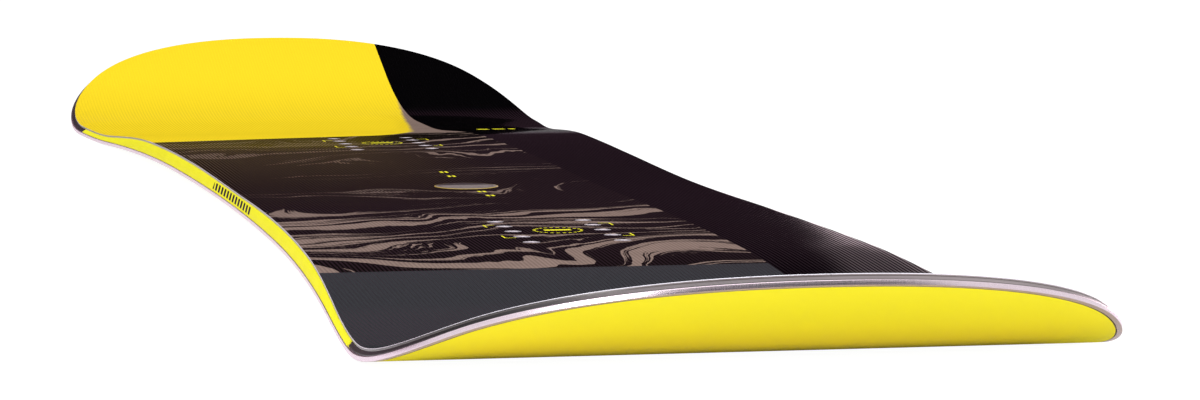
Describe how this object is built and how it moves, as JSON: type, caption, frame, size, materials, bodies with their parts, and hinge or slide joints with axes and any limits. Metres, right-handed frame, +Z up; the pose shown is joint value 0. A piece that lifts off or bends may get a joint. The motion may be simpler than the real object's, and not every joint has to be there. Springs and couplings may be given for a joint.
{
  "type": "snowboard",
  "caption": "Short twin-tip snowboard of bonded layers, with upturned ends, steel edges, threaded binding inserts in two packs and a marbled topsheet.",
  "frame": {"origin": "on the ground under the middle of the board", "axes": "+X towards the nose, +Y towards the board's left side, +Z up from the topsheet"},
  "size_m": [1.3252, 0.2774, 0.0457],
  "materials": {
    "base": "sintered polyethylene running base, yellow, waxed",
    "edge_steel": "ground steel edge",
    "sidewall": "milled ABS, yellow, satin",
    "spacer": "milled ABS, black",
    "glass": "glass fibre in clear resin",
    "rubber": "damping rubber foil",
    "pale_wood": "sanded poplar",
    "dark_wood": "sanded beech",
    "insert_steel": "stainless threaded insert",
    "topsheet": "printed topsheet under clear gloss with a fine woven embossing: yellow tail, marbled middle, charcoal nose, black side band",
    "badge": "plain round badge, silver with a yellow rim"
  },
  "bodies": {
    "root": {"base_sheet": "base", "bottom_laminate": "glass", "top_laminate": "glass", "topsheet": "topsheet", "centre_badge": "badge", "nose_spacer": "spacer", "tail_spacer": "spacer", "steel_edge_left": "edge_steel", "sidewall_left": "sidewall", "damping_strip_left": "rubber", "core_stringer_left_1": "pale_wood", "core_stringer_left_2": "dark_wood", "core_stringer_left_3": "pale_wood", "core_stringer_left_4": "dark_wood", "steel_edge_right": "edge_steel", "sidewall_right": "sidewall", "damping_strip_right": "rubber", "core_stringer_right_1": "pale_wood", "core_stringer_right_2": "dark_wood", "core_stringer_right_3": "pale_wood", "core_stringer_right_4": "dark_wood", "binding_mat_front": "glass", "insert_front_01": "insert_steel", "insert_front_02": "insert_steel", "insert_front_03": "insert_steel", "insert_front_04": "insert_steel", "insert_front_05": "insert_steel", "insert_front_06": "insert_steel", "insert_front_07": "insert_steel", "insert_front_08": "insert_steel", "insert_front_09": "insert_steel", "insert_front_10": "insert_steel", "binding_mat_rear": "glass", "insert_rear_01": "insert_steel", "insert_rear_02": "insert_steel", "insert_rear_03": "insert_steel", "insert_rear_04": "insert_steel", "insert_rear_05": "insert_steel", "insert_rear_06": "insert_steel", "insert_rear_07": "insert_steel", "insert_rear_08": "insert_steel", "insert_rear_09": "insert_steel", "insert_rear_10": "insert_steel"}
  },
  "joints": []
}
